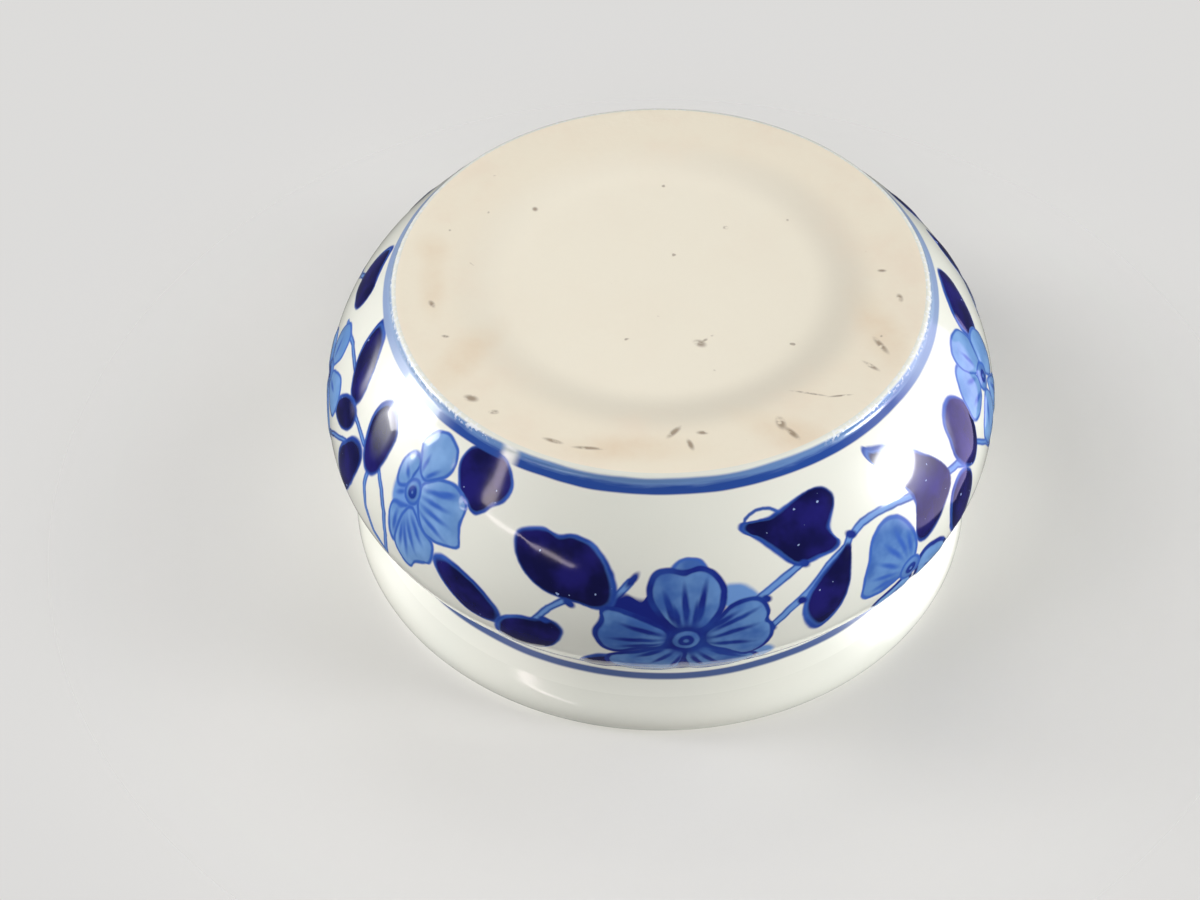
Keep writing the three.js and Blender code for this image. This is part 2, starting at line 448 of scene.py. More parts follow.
def front_leaves():
    """The leaves of the front half, from the left round to the right."""
    made = leaf((-102.6, 3.9), (-97, 5), (-91.5, 6.6), (-90.6, 10.2), (-94.2, 12), (-100, 12),
                (-103.5, 8.2))
    made += leaf((-80, 3.7), (-75.6, 3.6), (-71.8, 6.4), (-69.4, 10), (-69, 13.4), (-71.8, 14.4),
                 (-75, 12.4), (-78.2, 9.2))
    made += leaf((-75.8, 19.8), (-74.6, 16.7), (-71.3, 14.5), (-68, 14.8), (-67.2, 17), (-69, 19.3),
                 (-72.6, 20.7))
    made += leaf((-68.5, 22), (-65.8, 18.4), (-62.7, 17.4), (-61, 19.4), (-62.4, 24.6), (-66, 30),
                 (-69, 29), (-69.4, 25.6))
    made += leaf((-63.2, 9.8), (-61, 7.4), (-58, 7.9), (-55.4, 10.2), (-55, 13.8), (-56.2, 18.1),
                 (-58.7, 19.5), (-60.8, 17.8), (-62.6, 14))
    made += leaf((-39.5, 6.8), (-39.2, 4.4), (-37.2, 3), (-34.2, 2.6), (-31.2, 2.9), (-29, 4.4),
                 (-27.8, 6.6), (-28.6, 8.8), (-30.4, 10), (-31.8, 11.8), (-33.6, 12.6), (-35.8, 11.2),
                 (-38, 9.9), slip=(-0.02, -0.02), raised=False)
    made += leaf((-39, 23.3), (-37.3, 21.9), (-34.4, 22), (-30.6, 23.4), (-27.6, 25.6), (-26, 28),
                 (-27, 30.2), (-31, 30.4), (-35, 28.2), (-37.8, 25.4), slip=(-0.03, 0.07))
    made += leaf((-26.6, 30), (-25, 27.8), (-22.2, 26.5), (-19.6, 26.2), (-17.6, 25.6), (-16, 26.2),
                 (-15.3, 27.8), (-16.6, 31), (-20, 34.4), (-24, 36), (-26.6, 33.8))
    made += leaf((-24.5, 12.4), (-22.6, 11.1), (-20, 10.6), (-17.5, 11.1), (-14.5, 10.5), (-11.3, 11.3),
                 (-9, 13.2), (-7.5, 15.6), (-6.8, 18.2), (-7.6, 20.8), (-10, 21.6), (-13, 21),
                 (-17.6, 20.4), (-20.6, 19), (-23, 17), (-24.4, 14.6), slip=(-0.035, 0.03))
    made += leaf((-11.5, 33.4), (-9, 31.6), (-6.8, 32), (-6.6, 37), (-9, 42), (-12, 41), (-13, 37))
    made += leaf((14, 9.3), (16.2, 8.6), (19.3, 8.7), (22, 8), (25.4, 7.2), (29, 6.6), (31.4, 7.3),
                 (32.4, 9), (31.3, 11), (30, 12.8), (30.2, 14.2), (31.2, 15.6), (30.2, 16.8),
                 (27.4, 17), (24, 17.2), (22, 16.2), (19.6, 13.8), (16.8, 11.2), slip=(0.03, -0.025),
                 raised=False)
    made += leaf((32.7, 17.2), (32.4, 20), (31.6, 24), (30, 27.4), (27.8, 29.8), (26, 30.5),
                 (24.2, 28.6), (23.4, 25.8), (24.4, 22.6), (27, 20), (30, 18.4), slip=(0.07, -0.02))
    made += leaf((41.4, 5.4), (45.6, 6.2), (49.4, 8), (53.2, 11.6), (56.8, 16), (57.3, 19.6),
                 (54, 22.4), (51, 24.4), (48.4, 25), (46.6, 23.6), (46.8, 20.6), (47.8, 17.6),
                 (47, 14.4), (44.4, 10.6), raised=False)
    made += leaf((64, 9.9), (67, 10.2), (69.6, 12.8), (70, 16), (68.6, 20.2), (66, 22.6), (62.6, 20.8),
                 (60.6, 17.6), (61, 14.6), (61.6, 11.8))
    made += leaf((60, 20.6), (63, 21.6), (64.2, 24.8), (63, 28.6), (60.5, 31.6), (57.4, 31),
                 (55.8, 27.4), (56.6, 22.6))
    made += leaf((96.2, 4.4), (97, 7.2), (94.4, 10.2), (91.2, 12.8), (87, 14.4), (84.2, 11.6),
                 (85, 7.6), (89.6, 5))
    return made


def front_stems():
    """The stems of the front half, with the small dark knots where leaves join them."""
    made = wash(*ring_at(-45.4, 16.4, 11, 11))
    made += stem(1.2, (-7.6, 20), (-5.9, 18.2), (-4.6, 16.6))
    made += knots(1.3, ((-5.2, 17.4), (-3, 14.8)))
    made += stem(1.1, (-14.3, 20.6), (-17.6, 23.2), (-20, 26.6))
    made += stem(1.3, (16, 20.8), (19.3, 19), (24.4, 16.6))
    made += stem(1.3, (17.8, 27), (20.8, 24.4), (24.5, 22), (28.4, 18.9), (32.2, 17.2), (33.6, 15.6))
    made += stem(1.3, (33.2, 16), (36.2, 14.8), (39.8, 14.7), (44, 15.1), (48, 16.2))
    made += stem(1.3, (56.2, 17.8), (60.5, 18.8), (63.5, 20.8))
    made += stem(0.9, (68.6, 20.8), (72.5, 24.5), (77, 29.5), (81.5, 36))
    made += stem(0.9, (-61.8, 16.5), (-65.5, 15.6), (-67.8, 15.4))
    made += stem(0.9, (-69.5, 14), (-74, 11.8), (-82, 11.4), (-90, 13.5))
    made += stem(0.9, (-58.2, 18.8), (-58.2, 22), (-57, 25.8), (-54.6, 29), (-51, 31))
    made += stem(0.9, (-55.6, 17.2), (-53.4, 19.4), (-51.6, 22.6), (-50.8, 26.6), (-51, 31))
    made += stem(0.9, (-67.5, 20.4), (-73, 24), (-78, 28), (-84.5, 33.5))
    made += stem(0.4, (15, 8.9), (15.4, 8.1), (16.3, 7.55), (17.6, 7.2), (19, 7.15), (20.3, 7.4),
                 (21.6, 8.1))
    made += knots(1.5, ((16.4, 20.8), (18.4, 21.5)), ((22.4, 22.8), (24.2, 23.7)),
                  ((32.6, 15), (34.8, 16.2)), ((-15.2, 20.7), (-13.2, 22.1)),
                  ((-19.2, 25.5), (-17, 25.9)), ((23.4, 16.6), (25.4, 17.7)), ((17.2, 26.6), (19, 27.6)))
    return made


def simple_blossom(azimuth, arc, size, turn):
    """A plain five-petalled blossom for the back of the bowl."""
    made = []
    strokes = []

    def place(angle, reach):
        across = size * reach * math.sin(angle)
        return (azimuth + across / DEGREE, arc - size * reach * math.cos(angle))

    for k in range(5):
        out = turn + 2 * math.pi * k / 5
        lobe = [(-0.22, 0.2), (-0.62, 0.62), (-0.5, 0.96), (-0.2, 1.06), (0, 0.98), (0.2, 1.06),
                (0.5, 0.96),
                (0.62, 0.62), (0.22, 0.2)]
        made += petal(*[place(out + side, reach) for side, reach in lobe])
        strokes += [(place(out + side, 0.34), place(out + 0.8 * side, 0.8)) for side in (-0.28, 0, 0.28)]
    return made + button(azimuth, arc, size * 0.44, size * 0.42) + veins(1, *strokes)


def simple_leaf(azimuth, arc, length, width, turn):
    """A plain pointed leaf that starts at a place and grows along turn, in degrees from the foot."""
    angle = math.radians(turn)
    outline = [(0, 0), (0.2, 0.38), (0.5, 0.5), (0.78, 0.32), (1, 0), (0.78, -0.3), (0.5, -0.48),
               (0.2, -0.36)]
    points = []
    for along, side in outline:
        across = along * length * math.sin(angle) + side * width * math.cos(angle)
        down = -along * length * math.cos(angle) + side * width * math.sin(angle)
        points.append((azimuth + across / DEGREE, arc + down))
    return leaf(*points)


def back_pattern():
    """The back half, in keeping with the front and plainer."""
    made = []
    for azimuth, arc, size, turn in ((128, 25, 11, 0.2), (172, 17, 11, 0.5), (217, 25.5, 11, 0.1)):
        made += simple_blossom(azimuth, arc, size, turn)
    for azimuth, arc, length, width, turn in (
        (106, 16, 10, 6, 200), (105, 17, 11, 6.5, 40), (112, 24, 9, 5, 215), (146, 17, 11, 7, 330),
        (150, 21, 12, 6.5, 165), (143, 29, 9, 5, 120), (190, 24, 12, 7, 130), (194, 17, 11, 6.5, 40),
        (189, 28, 9, 5, 200), (236, 19, 11, 7, 345), (240, 22, 12, 6.5, 150), (202, 31, 8, 4.6, 100),
        (160, 32, 9, 5, 100), (116, 10, 9, 5, 60), (228, 12, 9, 5, 300),
    ):
        made += simple_leaf(azimuth, arc, length, width, turn)
    for points in (
        ((97, 18), (102, 16.5), (106, 16.6), (110, 20), (116, 24)),
        ((139, 24), (144, 20), (148, 19.6), (156, 21), (162, 19)),
        ((183, 19), (188, 23.5), (194, 19.6), (204, 22), (208, 25)),
        ((227, 23), (234, 19.6), (240, 20.6), (250, 18), (257, 14), (260, 11)),
    ):
        made += stem(1.1, *points)
    return made


PATTERN = (front_blossom() + left_blossom() + right_blossom() + far_right_blossom() + far_left_blossom()
           + front_leaves() + front_stems() + back_pattern())


def turned_near(mark, azimuth):
    """How far the mark's middle is moved, in whole turns, to come nearest an azimuth in degrees."""
    return 360 * DEGREE * round((azimuth * DEGREE - mark.middle[0]) / (360 * DEGREE))


def relief(azimuth, arc):
    """Height of the raised pattern over its ground at each place, in millimetres."""
    height = np.zeros(len(azimuth))
    for mark in PATTERN:
        if isinstance(mark, Stroke) and mark.pointed:
            continue
        if isinstance(mark, Patch) and not mark.raised:
            continue
        share = 0.55 if isinstance(mark, Stroke) else 1
        away = (azimuth * DEGREE - mark.middle[0] + 180 * DEGREE) % (360 * DEGREE) - 180 * DEGREE
        near = np.abs(away) < mark.near
        depth = mark.depth(away[near] + mark.middle[0], arc[near])
        height[near] = np.maximum(height[near], share * soft_step(depth, -0.3, RELIEF_SLOPE))
    return RELIEF_HEIGHT * height


def make_bowl():
    """The whole bowl as one turned shell; each corner keeps its distance along the profile, which the
    raised pattern and the UV map use.
    """
    points = UNDERSIDE + OUTSIDE[1:] + INSIDE
    arcs = arc_lengths(points)
    arcs = arcs - arcs[len(UNDERSIDE) - 1]
    bm = bmesh.new()
    arc_layer = bm.verts.layers.float.new("arc")
    corners = []
    for (radius, height), arc in zip(points, arcs):
        corner = bm.verts.new((radius * MM, 0, height * MM))
        corner[arc_layer] = arc
        corners.append(corner)
    sides = [bm.edges.new(pair) for pair in zip(corners, corners[1:])]
    bmesh.ops.spin(bm, geom=corners + sides, cent=(0, 0, 0), axis=(0, 0, 1), dvec=(0, 0, 0),
                   angle=2 * math.pi / SECTORS, steps=SEGMENTS // SECTORS, use_merge=False,
                   use_duplicate=False)
    first = bm.verts[:] + bm.edges[:] + bm.faces[:]
    for sector in range(1, SECTORS):
        copied = bmesh.ops.duplicate(bm, geom=first)["geom"]
        turn = Matrix.Rotation(2 * math.pi / SECTORS * sector, 3, "Z")
        moved = [item for item in copied if isinstance(item, bmesh.types.BMVert)]
        bmesh.ops.rotate(bm, verts=moved, cent=(0, 0, 0), matrix=turn)
    bmesh.ops.remove_doubles(bm, verts=bm.verts, dist=1e-7)
    bmesh.ops.recalc_face_normals(bm, faces=bm.faces)
    mesh = bpy.data.meshes.new("catchall_bowl")
    bm.to_mesh(mesh)
    bm.free()
    return mesh


def read(items, name, width=1):
    """One property of many items, as an array."""
    values = np.zeros(len(items) * width)
    items.foreach_get(name, values)
    return values.reshape(-1, width) if width > 1 else values


def raise_pattern(mesh):
    """Raises the pattern on the belly, and keeps it all inside the bowl's widest circle."""
    places = read(mesh.vertices, "co", 3) / MM
    arc = read(mesh.attributes["arc"].data, "value")
    azimuth = np.degrees(np.arctan2(-places[:, 0], -places[:, 1]))
    on_belly = (arc > RELIEF_MARGIN) & (arc < CREASE_ARC - RELIEF_MARGIN)
    radius = np.hypot(places[:, 0], places[:, 1])
    height = np.zeros(len(radius))
    height[on_belly] = relief(azimuth[on_belly], arc[on_belly])
    sunk = np.where(on_belly, RELIEF_HEIGHT * np.exp((radius - BELLY_RADIUS) / RELIEF_REACH), 0)
    normals = read(mesh.vertex_normals, "vector", 3)
    places += normals * (height - sunk)[:, None]
    mesh.vertices.foreach_set("co", (places * MM).astype(np.float32).ravel())
    mesh.update()


def lay_out(mesh):
    """Writes the UV map: millimetres round the bowl at its widest, and millimetres up the wall."""
    arc = read(mesh.attributes["arc"].data, "value")
    places = read(mesh.vertices, "co", 3)
    azimuth = np.degrees(np.arctan2(-places[:, 0], -places[:, 1]))
    centres = read(mesh.polygons, "center", 3)
    face_azimuth = np.degrees(np.arctan2(-centres[:, 0], -centres[:, 1]))
    corner = read(mesh.loops, "vertex_index").astype(int)
    face_of_corner = np.repeat(np.arange(len(centres)), read(mesh.polygons, "loop_total").astype(int))
    beside = face_azimuth[face_of_corner]
    unrolled = beside + (azimuth[corner] - beside + 180) % 360 - 180
    layer = mesh.uv_layers.new(name="wall")
    places_on_wall = np.column_stack([unrolled * DEGREE, arc[corner]]).astype(np.float32)
    layer.data.foreach_set("uv", places_on_wall.ravel())
    face_arc = np.zeros(len(centres))
    np.add.at(face_arc, face_of_corner, arc[corner])
    face_arc /= read(mesh.polygons, "loop_total")
    return face_azimuth, face_arc


def linear(red, green, blue):
    """A colour as seen on a screen, 0 to 255, as the light that it stands for."""
    parts = []
    for value in (red, green, blue):
        share = value / 255
        parts.append(share / 12.92 if share < 0.04045 else ((share + 0.055) / 1.055) ** 2.4)
    return (*parts, 1)


# Finishes
WHITE_GLAZE = linear(232, 231, 220)
COOL_GLAZE = linear(227, 230, 221)
GLAZE_ROUGHNESS = 0.09
COLLAR_ROUGHNESS = 0.28
PALE_BLUE = linear(124, 165, 215)
SOFT_BLUE = linear(98, 140, 196)
MIDDLE_BLUE = linear(62, 101, 173)
LINE_BLUE = linear(34, 64, 150)
THIN_LINE_BLUE = linear(58, 98, 184)
DEEP_BLUE = linear(24, 38, 128)
STEM_BLUE = linear(106, 148, 208)
NAVY = linear(14, 15, 66)
INDIGO = linear(30, 27, 106)
EDGE_BLUE = linear(62, 106, 188)
# Pale blue of the painted glints in the dark leaves
LEAF_GLINT_BLUE = linear(150, 170, 215)
BAND_BLUE = linear(40, 74, 152)
BAND_PALE = linear(104, 138, 188)
# Pale blue of the painted reflection over the foot band's sides
BAND_SHEEN_PALE = linear(176, 196, 222)
CREASE_BLUE = linear(38, 72, 136)
# White of the painted glints on the foot band
PAINTED_GLINT = linear(238, 241, 243)
BISCUIT = linear(240, 231, 211)
BISCUIT_MIDDLE = linear(243, 236, 218)
# Grey of the painted shade in the dish's edge
BISCUIT_SHADE = linear(218, 211, 195)
BISCUIT_WARM = linear(236, 219, 198)
BISCUIT_STAIN = linear(226, 204, 174)
DIRT = linear(128, 106, 84)
FLOOR_PALE = linear(226, 225, 222)

# The blue band round the foot and its one break, in millimetres up and along the wall
BAND_LOW = 0.6
BAND_HIGH = 3.5
BAND_BREAK = -29.4

# The thin line just above the crease, in millimetres up the wall, and the zone that has it
CREASE_LINE_LOW = 46.9
CREASE_LINE_HIGH = 48.3
COLLAR_LINE_ZONE = 5

# Painted shade: a soft grey ring at the dish's edge on the underside, darker on one side
HOLLOW_SHADE_RADIUS = 29.2
HOLLOW_SHADE_REACH = 5.8


class Nodes:
    """Adds nodes to a material; an input is a plain value or the output of another node."""

    def __init__(self, name):
        self.material = bpy.data.materials.new(name)
        self.material.use_nodes = True
        self.tree = self.material.node_tree
        self.tree.nodes.clear()

    def add(self, kind, *inputs, output=0, **settings):
        made = self.tree.nodes.new("ShaderNode" + kind)
        for name, value in settings.items():
            setattr(made, name, value)
        for slot, value in enumerate(inputs):
            if isinstance(value, bpy.types.NodeSocket):
                self.tree.links.new(value, made.inputs[slot])
            elif value is not None:
                made.inputs[slot].default_value = value
        return made.outputs[output]

    def math(self, operation, *values):
        return self.add("Math", *values, operation=operation)

    def times(self, first, second):
        return self.math("MULTIPLY", first, second)

    def vector(self, operation, *values):
        return self.add("VectorMath", *values, operation=operation)

    def length(self, vector):
        return self.add("VectorMath", vector, operation="LENGTH", output=1)

    def split(self, vector):
        parts = self.add("SeparateXYZ", vector).node.outputs
        return parts[0], parts[1]

    def between(self, value, low, high, smooth=True):
        """0 at low and 1 at high, with a soft change between them."""
        kind = "SMOOTHSTEP" if smooth else "LINEAR"
        return self.add("MapRange", value, low, high, 0.0, 1.0, interpolation_type=kind)

    def curve(self, share, heights):
        """A smooth curve through equally spaced heights between 0 and 1."""
        made = self.add("FloatCurve", 1.0, share).node
        points = made.mapping.curves[0].points
        points[0].location = (0, heights[0])
        points[1].location = (1, heights[-1])
        for k, height in enumerate(heights[1:-1], start=1):
            points.new(k / (len(heights) - 1), height)
        made.mapping.update()
        return made.outputs[0]

    def mix(self, share, first, second):
        made = self.tree.nodes.new("ShaderNodeMix")
        made.data_type = "RGBA"
        for slot, value in ((0, share), (6, first), (7, second)):
            if isinstance(value, bpy.types.NodeSocket):
                self.tree.links.new(value, made.inputs[slot])
            else:
                made.inputs[slot].default_value = value
        return made.outputs[2]

    def noise(self, vector, scale, detail=2.0, roughness=0.5):
        return self.add("TexNoise", vector, None, scale, detail, roughness)

    def ring(self, depth, middle, width):
        """1 where a depth is within half a width of a middle value."""
        off = self.math("ABSOLUTE", self.math("SUBTRACT", depth, middle))
        return self.between(off, width / 2 + 0.2, width / 2 - 0.2)

    def shaken(self, vector, scale, amount):
        """A place moved to and fro, as by an unsteady hand."""
        shake = self.add("TexNoise", self.add("TexCoord", output=3), None, scale, 2.0, output=1)
        half = (-amount / 2, -amount / 2, 0)
        moved = self.add("VectorMath", shake, (amount, amount, 0), half, operation="MULTIPLY_ADD")
        return self.vector("ADD", vector, moved)

    def surface(self, colour, roughness, bump=None, **plain):
        """The finished surface, with its plain values on the shader's own sockets."""
        shader = self.tree.nodes.new("ShaderNodeBsdfPrincipled")
        output = self.tree.nodes.new("ShaderNodeOutputMaterial")
        self.tree.links.new(shader.outputs[0], output.inputs[0])
        for name, value in {"Base Color": colour, "Roughness": roughness, "Normal": bump, **plain}.items():
            if isinstance(value, bpy.types.NodeSocket):
                self.tree.links.new(value, shader.inputs[name])
            elif value is not None:
                shader.inputs[name].default_value = value
        return self.material


def glaze_bump(nodes, place):
    """The faint waviness of fired glaze."""
    return nodes.add("Bump", 0.08, 0.0005, None, nodes.noise(place, 170.0, 1.0))


def glaze_tint(nodes, place):
    """White glaze, a little greener in some places than in others."""
    return nodes.mix(nodes.noise(place, 45.0, 3.0), WHITE_GLAZE, COOL_GLAZE)


def white_glaze_material():
    """Plain white glaze, for the lip and the inside."""
    nodes = Nodes("white_glaze")
    place = nodes.add("TexCoord", output=3)
    return nodes.surface(glaze_tint(nodes, place), GLAZE_ROUGHNESS, glaze_bump(nodes, place))


ORDER = ("wash", "stem", "dark", "leaf", "knot", "petal", "heart", "thread", "vein", "button", "seed")


def lay_mark(nodes, mark, depth, place, colour, blues):
    """The colour with one mark laid over it."""
    if mark.finish == "wash":
        return nodes.mix(nodes.between(depth, -0.4, 0.5), colour, STEM_BLUE)
    if mark.finish == "dark":
        return nodes.mix(nodes.between(depth, -0.5, 0.6), colour, DEEP_BLUE)
    if mark.finish == "heart":
        return nodes.mix(nodes.between(depth, -0.4, 1.2), colour, blues["line"])
    if mark.finish in ("knot", "vein"):
        return nodes.mix(nodes.between(depth, -0.15, 0.35), colour, blues["line"])
    if mark.finish == "thread":
        return nodes.mix(nodes.between(depth, -0.25, 0.4), colour, THIN_LINE_BLUE)
    if mark.finish == "seed":
        return nodes.mix(nodes.ring(depth, 0.1, 0.8), colour, blues["line"])
    if mark.finish == "leaf":
        across, up = mark.look["slip"]
        aside = nodes.add("VectorMath", place, (across, up, 0), operation="DOT_PRODUCT", output=1)
        start = float(across * mark.middle[0] + up * mark.middle[1])
        filled = nodes.between(nodes.math("ADD", depth, aside), start - 0.05, start + 0.55)
        colour = nodes.mix(nodes.between(depth, -0.45, 0.2), colour, EDGE_BLUE)
        colour = nodes.mix(nodes.ring(depth, 0.1, 0.5), colour, blues["edge"])
        return nodes.mix(filled, colour, blues["navy"])
    colour = nodes.mix(nodes.between(depth, -0.3, 0.15), colour, blues[mark.look["tone"]])
    line = blues["line"] if mark.look["line"] > 0.7 else THIN_LINE_BLUE
    return nodes.mix(nodes.ring(depth, 0.12, mark.look["line"]), colour, line)


def foot_band(nodes, wall, object_place, colour):
    """The blue band round the foot: pale above and dark below, with one break in it; painted reflections
    pale it at left and right, and painted glints dot its lower part there.
    """
    across, arc = nodes.split(wall)
    wobble = nodes.math("MULTIPLY_ADD", nodes.noise(object_place, 70.0, 2.0), 0.7, -0.35)
    height = nodes.math("ADD", arc, wobble)
    band = nodes.times(nodes.between(height, BAND_LOW, BAND_LOW + 0.5),
                       nodes.between(height, BAND_HIGH, BAND_HIGH - 0.35))
    streaks = nodes.noise(nodes.vector("MULTIPLY", wall, (0.1, 1.3, 0)), 1.0, 3.0)
    deep = nodes.between(nodes.math("MULTIPLY_ADD", streaks, 1.8, height), 2.4, 3.3)
    blue = nodes.mix(deep, BAND_PALE, BAND_BLUE)
    # Painted reflection: the band is paled towards its left and right, where bright reflections wash over
    # it
    painted_sheen = nodes.math("MAXIMUM", nodes.between(across, -42.0, -50.0), nodes.between(across, 50.0, 64.0))
    blue = nodes.mix(nodes.times(painted_sheen, 0.6), blue, BAND_SHEEN_PALE)
    gap = nodes.between(nodes.math("ABSOLUTE", nodes.math("SUBTRACT", across, BAND_BREAK)), 2.6, 0.6)
    band = nodes.times(band, nodes.math("MULTIPLY_ADD", gap, -0.8, 1.0))
    colour = nodes.mix(band, colour, blue)
    # Painted glints: small bright specks on the band's lower part, towards its left and right
    sides = nodes.between(nodes.math("ABSOLUTE", across), 32.0, 37.0)
    glint_grains = nodes.between(nodes.noise(object_place, 1500.0, 1.0), 0.54, 0.6)
    painted_glints = nodes.times(nodes.times(glint_grains, sides), nodes.between(height, 2.0, 0.9))
    return nodes.mix(nodes.times(painted_glints, 0.75), colour, PAINTED_GLINT)


def painted_material(sector):
    """Glaze over the painted pattern, for one sector of the belly."""
    middle = 360 / SECTORS * (sector + 0.5) - 180
    nodes = Nodes(f"painted_glaze_{sector + 1}")
    wall = nodes.add("UVMap", uv_map="wall")
    object_place = nodes.add("TexCoord", output=3)
    place = nodes.shaken(wall, 330.0, 0.5)
    cloud = nodes.between(nodes.noise(object_place, 170.0, 3.0), 0.35, 0.68)
    blues = {
        "pale": nodes.mix(cloud, PALE_BLUE, SOFT_BLUE),
        "soft": nodes.mix(cloud, SOFT_BLUE, MIDDLE_BLUE),
        "middle": nodes.mix(cloud, MIDDLE_BLUE, SOFT_BLUE),
        "line": nodes.mix(cloud, LINE_BLUE, DEEP_BLUE),
        "edge": nodes.mix(cloud, LINE_BLUE, THIN_LINE_BLUE),
        "navy": nodes.mix(cloud, NAVY, INDIGO),
    }
    # Painted glints: tiny pale specks scattered over the dark leaf fill
    leaf_glints = nodes.between(nodes.noise(object_place, 1100.0, 0.0), 0.82, 0.86)
    blues["navy"] = nodes.mix(leaf_glints, blues["navy"], LEAF_GLINT_BLUE)
    near = []
    for mark in PATTERN:
        shift = turned_near(mark, middle)
        if abs(mark.middle[0] + shift - middle * DEGREE) < 180 / SECTORS * DEGREE + mark.near:
            near.append((mark, place if not shift else nodes.vector("SUBTRACT", place, (shift, 0, 0))))
    colour = glaze_tint(nodes, object_place)
    for finish in ORDER:
        stems = []
        for mark, here in near:
            if mark.finish != finish:
                continue
            depth = mark.depth_node(nodes, here)
            if finish == "stem":
                stems.append(depth)
            else:
                colour = lay_mark(nodes, mark, depth, here, colour, blues)
        if stems:
            depth = stems[0]
            for other in stems[1:]:
                depth = nodes.math("MAXIMUM", depth, other)
            colour = nodes.mix(nodes.between(depth, -0.25, 0.2), colour, STEM_BLUE)
            colour = nodes.mix(nodes.ring(depth, 0.12, 0.3), colour, blues["edge"])
    colour = foot_band(nodes, wall, object_place, colour)
    return nodes.surface(colour, GLAZE_ROUGHNESS, glaze_bump(nodes, object_place))


def smudge(nodes, place, x, y, length, width, turn):
    """A soft long spot on the underside, 1 in its middle; millimetres and degrees."""
    scale = (length * 0.6 * MM, width * 0.75 * MM, 1)
    middle = (x * MM, y * MM, 0)
    local = nodes.add("Mapping", place, middle, (0, 0, math.radians(turn)), scale, vector_type="TEXTURE")
    return nodes.between(nodes.length(local), 1.0, 0.2)


# Dirt on the underside: middle, length, width and turn of each scratch, and of each stain
SCRATCHES = ((20.5, 17.1, 1.1, 0.9, 0), (-6.2, -13.7, 2.4, 1.3, 30), (-7.4, -12.6, 2.6, 0.5, -40),
             (-10.6, 13, 1, 0.8, 0), (28.2, -26.8, 2.6, 1.2, 20), (24.6, -29.6, 1.8, 0.8, 0),
             (-2.2, -33.5, 3.4, 0.9, -50), (-4.6, -36, 2.6, 0.8, 70), (-6.4, -33.6, 2, 0.7, 0),
             (-18, -31.6, 3, 1.3, 75), (-19.6, -33.6, 3.4, 0.9, 50), (-22.4, -25.4, 6, 0.35, 12),
             (-27, -25.9, 4, 0.35, -8), (-33.8, -15.2, 4.4, 0.9, 60), (-32, -19.6, 3.4, 0.7, 40),
             (-37.4, -4.6, 2, 0.9, 80), (-35, 1.6, 1.6, 0.6, 0), (35.6, -6.4, 2, 0.8, 60),
             (33, -13.6, 1.4, 0.6, 0), (10.4, -36.8, 5, 0.6, 5), (15.6, -35.4, 3.4, 0.7, 20))
STAINS = ((36.6, 6.4, 9, 5, 70), (4, -37, 26, 5, 0), (-20, -34, 24, 6, 28), (-34, -12, 24, 6, 70),
          (30, -18, 22, 6, -58), (36, -2, 18, 4, 85))


def biscuit_material():
    """Bare fired clay underfoot, with a painted shade ring at the dish's edge, stains, scratches and
    specks.
    """
    nodes = Nodes("bare_biscuit")
    place = nodes.add("TexCoord", output=3)
    flat = nodes.vector("MULTIPLY", place, (1, 1, 0))
    grain = nodes.noise(place, 900.0, 3.0)
    cloud = nodes.between(nodes.noise(place, 60.0, 5.0, 0.6), 0.4, 0.75)
    out = nodes.between(nodes.length(flat), 26.5 * MM, 33.5 * MM)
    colour = nodes.mix(out, BISCUIT_MIDDLE, BISCUIT)
    # Painted shade: a grey ring in the dish's sloping edge, darker on one side
    off_edge = nodes.math("ABSOLUTE", nodes.math("SUBTRACT", nodes.length(flat), HOLLOW_SHADE_RADIUS * MM))
    shaded_side = nodes.add("VectorMath", flat, (-7, -4, 0), operation="DOT_PRODUCT", output=1)
    hollow_shade = nodes.times(nodes.between(off_edge, HOLLOW_SHADE_REACH * MM, 0.4 * MM),
                        nodes.math("ADD", shaded_side, 0.42))
    colour = nodes.mix(hollow_shade, colour, BISCUIT_SHADE)
    colour = nodes.mix(nodes.times(cloud, nodes.math("MULTIPLY_ADD", out, 0.5, 0.1)), colour,
                       BISCUIT_WARM)
    for stain in STAINS:
        share = nodes.times(smudge(nodes, flat, *stain),
                           nodes.math("MULTIPLY_ADD", cloud, 0.4, 0.25))
        colour = nodes.mix(share, colour, BISCUIT_STAIN)
    broken = nodes.between(nodes.noise(place, 700.0, 2.0), 0.3, 0.5)
    for scratch in SCRATCHES:
        share = nodes.times(smudge(nodes, flat, *scratch), nodes.times(broken, 0.75))
        colour = nodes.mix(share, colour, DIRT)
    specks = nodes.between(nodes.noise(place, 420.0, 1.0), 0.78, 0.83)
    colour = nodes.mix(nodes.times(specks, 0.6), colour, DIRT)
    bump = nodes.add("Bump", 0.2, 0.0002, None, grain)
    return nodes.surface(colour, 0.75, bump)


def collar_material():
    """White glaze with the thin painted line just above the crease."""
    nodes = Nodes("collar_glaze")
    place = nodes.add("UVMap", uv_map="wall")
    arc = nodes.split(place)[1]
    object_place = nodes.add("TexCoord", output=3)
    wobble = nodes.math("MULTIPLY_ADD", nodes.noise(object_place, 60.0, 2.0), 0.5, -0.25)
    height = nodes.math("ADD", arc, wobble)
    line = nodes.times(nodes.between(height, CREASE_LINE_LOW, CREASE_LINE_LOW + 0.3),
                       nodes.between(height, CREASE_LINE_HIGH, CREASE_LINE_HIGH - 0.4))
    colour = nodes.mix(nodes.times(line, 0.94), glaze_tint(nodes, object_place), CREASE_BLUE)
    return nodes.surface(colour, COLLAR_ROUGHNESS, glaze_bump(nodes, object_place))


